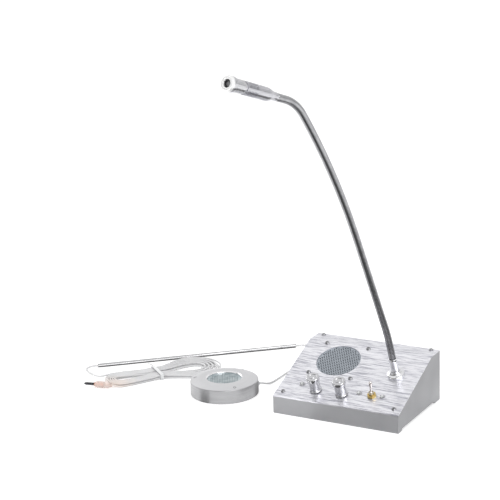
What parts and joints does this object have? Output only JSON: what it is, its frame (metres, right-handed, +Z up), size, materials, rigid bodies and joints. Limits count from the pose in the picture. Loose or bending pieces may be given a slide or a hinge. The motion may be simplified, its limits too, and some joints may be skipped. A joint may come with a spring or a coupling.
{
  "type": "teller window intercom",
  "caption": "Sloped desk console with a gooseneck microphone, round grille, knobs and a toggle, a separate round speaker unit, and a tied clear cord with a plug.",
  "frame": {"origin": "on the counter, under the middle of the box round the console, microphone and outside unit", "axes": "+Z up, +X to the right and -Y towards the clerk who uses the console"},
  "size_m": [0.4225, 0.4547, 0.4154],
  "materials": {
    "case_paint": "satin light blue-grey enamel",
    "face_brushed": "brushed along the width, clear anodised",
    "bottom_zinc": "zinc plated sheet",
    "screw_steel": "plated steel",
    "rubber": "matt moulded rubber",
    "grille_blue": "dark blue-grey perforated sheet",
    "basket": "black pressed steel",
    "cone": "treated paper cone",
    "magnet": "ferrite",
    "board": "green glass-fibre board",
    "board_black": "black moulded components",
    "brass": "turned brass",
    "control_can": "plated steel can",
    "shaft_metal": "turned aluminium",
    "knob_polish": "polished",
    "switch_blue": "moulded switch body",
    "lever_chrome": "polished",
    "lamp_bezel": "polished",
    "lamp_lens": "clear domed lens",
    "socket_black": "moulded socket",
    "neck_chrome": "polished",
    "hose_steel": "satin chromed spiral hose",
    "mic_metal": "satin silver",
    "mesh_dark": "dark woven mesh",
    "capsule": "plain can",
    "out_paint": "satin silver enamel",
    "out_grille": "grey-green perforated sheet",
    "out_base": "plated sheet",
    "gland": "pale grommet",
    "cord_clear": "clear jacket over fine strands",
    "conduit": "pale plastic tube",
    "tie": "white flat tie",
    "plug_clear": "clear pinkish moulding",
    "plug_metal": "copper-coloured plating"
  },
  "bodies": {
    "console": {"case_shell": "case_paint", "face_plate": "face_brushed", "bottom_plate": "bottom_zinc", "corner_screws": "screw_steel", "grille_screws": "screw_steel", "grille_nuts": "screw_steel", "bottom_screws": "screw_steel", "rubber_feet": "rubber", "speaker_grille": "grille_blue", "speaker_basket": "basket", "speaker_cone": "cone", "speaker_magnet": "magnet", "amp_board": "board", "board_parts": "board_black", "board_posts": "brass", "board_screws": "screw_steel", "pots": "control_can", "bush_nuts": "screw_steel", "switch_body": "switch_blue", "switch_washer": "control_can", "switch_nut": "brass", "lamp_bezels": "lamp_bezel", "lamp_lenses": "lamp_lens", "audio_socket": "socket_black", "dc_inlet": "socket_black", "neck_flange": "neck_chrome", "neck_nut": "screw_steel", "neck_sleeve": "neck_chrome", "hose_foot": "hose_steel", "out_housing": "out_paint", "out_grille": "out_grille", "out_basket": "basket", "out_magnet": "magnet", "out_mic": "capsule", "out_base": "out_base", "out_pad": "rubber", "out_screws": "screw_steel", "out_gland": "gland", "cord_lead": "cord_clear", "conduit": "conduit", "cord_hank": "cord_clear", "cord_tie": "tie", "cord_tail": "cord_clear", "plug_grip": "plug_clear", "plug_pin": "plug_metal"},
    "left_knob": {"shaft_left": "shaft_metal", "knob_left": "knob_polish"},
    "right_knob": {"shaft_right": "shaft_metal", "knob_right": "knob_polish"},
    "toggle": {"switch_lever": "lever_chrome"},
    "neck_1": {"hose_1": "hose_steel"},
    "neck_2": {"hose_2": "hose_steel"},
    "neck_3": {"hose_3": "hose_steel"},
    "neck_4": {"hose_4": "hose_steel"},
    "neck_5": {"hose_5": "hose_steel", "mic_collar": "mic_metal", "mic_body": "mic_metal", "mic_cap": "mic_metal", "mic_mesh": "mesh_dark", "mic_capsule": "capsule"}
  },
  "joints": [
    {"name": "left_knob_turn", "type": "hinge", "parent": "console", "child": "left_knob", "pos_m": [0.029, 0.07715, 0.02745], "axis": [0, -0.3757, 0.9267], "range_deg": [-150, 150]},
    {"name": "right_knob_turn", "type": "hinge", "parent": "console", "child": "right_knob", "pos_m": [0.0605, 0.07715, 0.02745], "axis": [0, -0.3757, 0.9267], "range_deg": [-150, 150]},
    {"name": "toggle_tilt", "type": "hinge", "parent": "console", "child": "toggle", "pos_m": [0.095, 0.07912, 0.03322], "axis": [1, 0, 0], "range_deg": [0, 24]},
    {"name": "neck_bend_1", "type": "hinge", "parent": "console", "child": "neck_1", "pos_m": [0.1075, 0.1, 0.0842], "axis": [0.9763, -0.2006, -0.0813], "range_deg": [-40, 20]},
    {"name": "neck_sway_1", "type": "hinge", "parent": "neck_1", "child": "neck_2", "pos_m": [0.10576, 0.06133, 0.1587], "axis": [0.215, 0.8564, 0.4694], "range_deg": [-30, 30]},
    {"name": "neck_bend_2", "type": "hinge", "parent": "neck_2", "child": "neck_3", "pos_m": [0.10365, 0.02115, 0.23244], "axis": [0.9763, -0.2006, -0.0813], "range_deg": [-35, 30]},
    {"name": "neck_sway_2", "type": "hinge", "parent": "neck_3", "child": "neck_4", "pos_m": [0.10038, -0.02354, 0.30346], "axis": [0.211, 0.7981, 0.5644], "range_deg": [-30, 30]},
    {"name": "neck_bend_3", "type": "hinge", "parent": "neck_4", "child": "neck_5", "pos_m": [0.0947, -0.07952, 0.37336], "axis": [0.9763, -0.2006, -0.0813], "range_deg": [-40, 30]}
  ]
}
